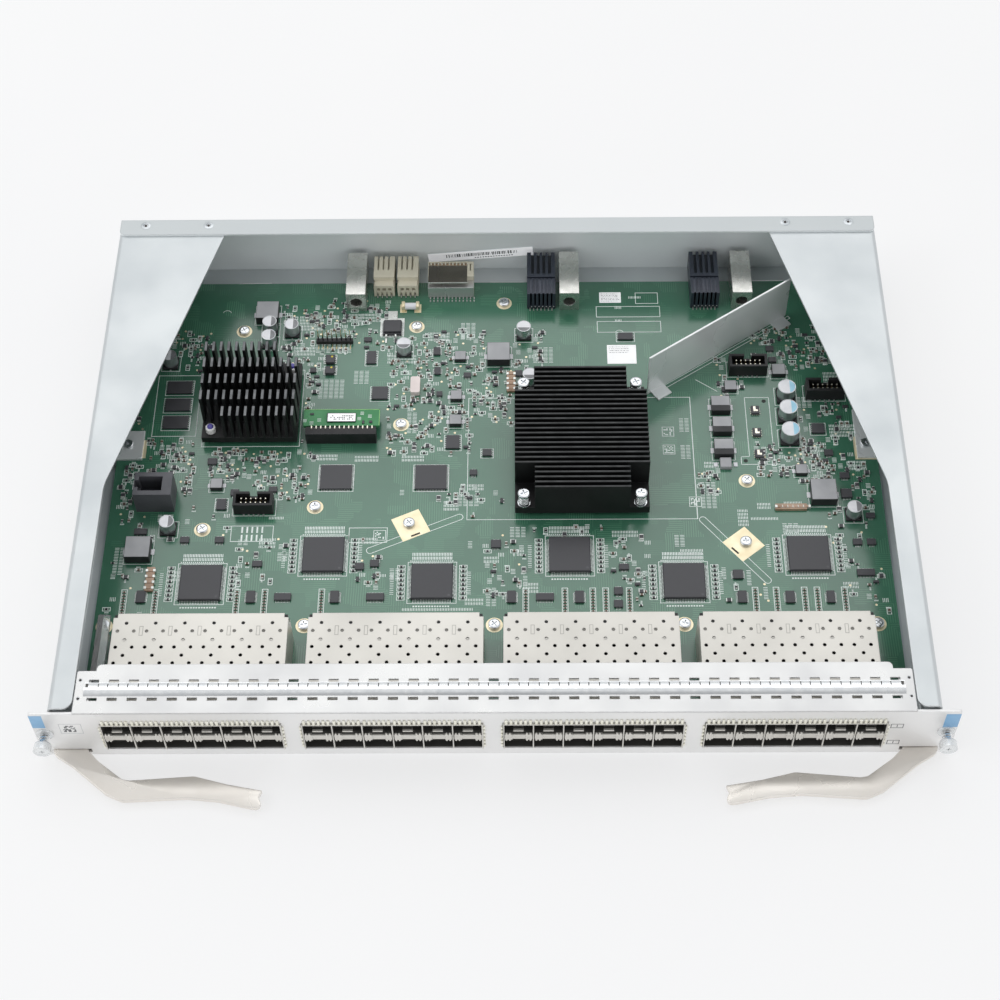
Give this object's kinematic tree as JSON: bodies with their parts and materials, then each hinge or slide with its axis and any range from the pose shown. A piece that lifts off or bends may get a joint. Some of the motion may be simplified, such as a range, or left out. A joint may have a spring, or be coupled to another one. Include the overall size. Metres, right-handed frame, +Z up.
{
  "type": "switch line card",
  "caption": "Sheet-metal line card with stacked optical port cages, finned heatsinks, ejector levers and captive screws, lying in its folded guard tray.",
  "frame": {"origin": "under the middle of the whole, on the surface that the guard stands on", "axes": "+X along the faceplate to its right end, -Y out of the faceplate, +Z up from the guard's floor"},
  "size_m": [0.4366, 0.3445, 0.0421],
  "materials": {
    "galvanised_sheet": "matt galvanised steel sheet",
    "rivet_metal": "plain aluminium blind rivets",
    "tray_sheet": "zinc-plated steel sheet",
    "board_laminate": "green solder mask over copper",
    "screw_metal": "zinc-plated steel",
    "faceplate_sheet": "light grey coated steel sheet",
    "shield_sheet": "bright plated steel sheet",
    "spring_metal": "plated spring metal",
    "cage_sheet": "tin-plated cage sheet",
    "black_moulding": "black moulded plastic",
    "clear_moulding": "clear moulded plastic",
    "lever_plate": "satin nickel-plated steel",
    "black_anodised": "black anodised aluminium",
    "white_moulding": "white moulded plastic",
    "chip_package": "moulded chip package",
    "baffle_sheet": "dark insulating sheet",
    "cast_guide": "cast metal, plain",
    "cream_moulding": "cream moulded plastic",
    "dark_moulding": "blue-black moulded plastic",
    "grey_moulding": "dark grey moulded plastic",
    "contact_gold": "gold-plated contacts",
    "ferrite": "grey moulded ferrite",
    "can_aluminium": "bright aluminium can",
    "ceramic_body": "brown ceramic with plated ends"
  },
  "bodies": {
    "card": {"guard_tray": "galvanised_sheet", "guard_rear_wall": "galvanised_sheet", "sheet_rivets": "rivet_metal", "guard_clips": "galvanised_sheet", "card_tray": "tray_sheet", "main_board": "board_laminate", "board_screws": "screw_metal", "faceplate": "faceplate_sheet", "top_shield": "shield_sheet", "shield_finger_strip": "spring_metal", "end_brackets": "shield_sheet", "port_cage_1": "cage_sheet", "port_cage_2": "cage_sheet", "port_cage_3": "cage_sheet", "port_cage_4": "cage_sheet", "cage_walls": "cage_sheet", "cage_shelves": "cage_sheet", "contact_blocks": "black_moulding", "light_pipes": "clear_moulding", "left_captive_collar": "screw_metal", "left_captive_spring": "spring_metal", "right_captive_collar": "screw_metal", "right_captive_spring": "spring_metal", "left_lever_bracket": "shield_sheet", "right_lever_bracket": "shield_sheet", "lever_pivot_pins": "screw_metal", "main_heatsink": "black_anodised", "heatsink_screws": "screw_metal", "heatsink_springs": "spring_metal", "cpu_heatsink": "black_anodised", "cpu_push_pins": "white_moulding", "covered_chips": "chip_package", "air_baffle": "baffle_sheet", "guide_module_1": "cast_guide", "guide_module_2": "cast_guide", "guide_module_3": "cast_guide", "power_connectors": "cream_moulding", "signal_connector": "cream_moulding", "signal_shield": "shield_sheet", "dark_connectors": "dark_moulding", "management_jack": "grey_moulding", "box_headers": "black_moulding", "box_header_pins": "contact_gold", "port_chips": "chip_package", "support_chips": "chip_package", "power_inductors": "ferrite", "electrolytic_capacitors": "can_aluminium", "polymer_capacitors": "can_aluminium", "ceramic_capacitors": "ceramic_body", "clock_crystal": "can_aluminium", "daughter_card": "board_laminate", "pin_headers": "black_moulding"},
    "left_lever": {"left_ejector_lever": "lever_plate"},
    "right_lever": {"right_ejector_lever": "lever_plate"},
    "left_screw_carriage": {"left_captive_washer": "screw_metal"},
    "left_screw": {"left_captive_knob": "screw_metal", "left_captive_screw": "screw_metal"},
    "right_screw_carriage": {"right_captive_washer": "screw_metal"},
    "right_screw": {"right_captive_knob": "screw_metal", "right_captive_screw": "screw_metal"}
  },
  "joints": [
    {"name": "left_lever_swing", "type": "hinge", "parent": "card", "child": "left_lever", "pos_m": [-0.2039, -0.1359, 0.0039], "axis": [0, 0, 1], "range_deg": [-52, 1.2]},
    {"name": "left_screw_push", "type": "slide", "parent": "card", "child": "left_screw_carriage", "axis": [0, 1, 0], "range_m": [0, 0.003], "stiffness_N_per_m": 500, "deforming": ["left_captive_spring"]},
    {"name": "left_screw_turn", "type": "hinge", "parent": "left_screw_carriage", "child": "left_screw", "pos_m": [-0.2136, -0.1405, 0.0208], "axis": [0, 1, 0], "continuous": true},
    {"name": "right_lever_swing", "type": "hinge", "parent": "card", "child": "right_lever", "pos_m": [0.2039, -0.1359, 0.0039], "axis": [0, 0, 1], "range_deg": [0, 52]},
    {"name": "right_screw_push", "type": "slide", "parent": "card", "child": "right_screw_carriage", "axis": [0, 1, 0], "range_m": [0, 0.003], "stiffness_N_per_m": 500, "deforming": ["right_captive_spring"]},
    {"name": "right_screw_turn", "type": "hinge", "parent": "right_screw_carriage", "child": "right_screw", "pos_m": [0.2136, -0.1405, 0.0208], "axis": [0, 1, 0], "continuous": true}
  ]
}
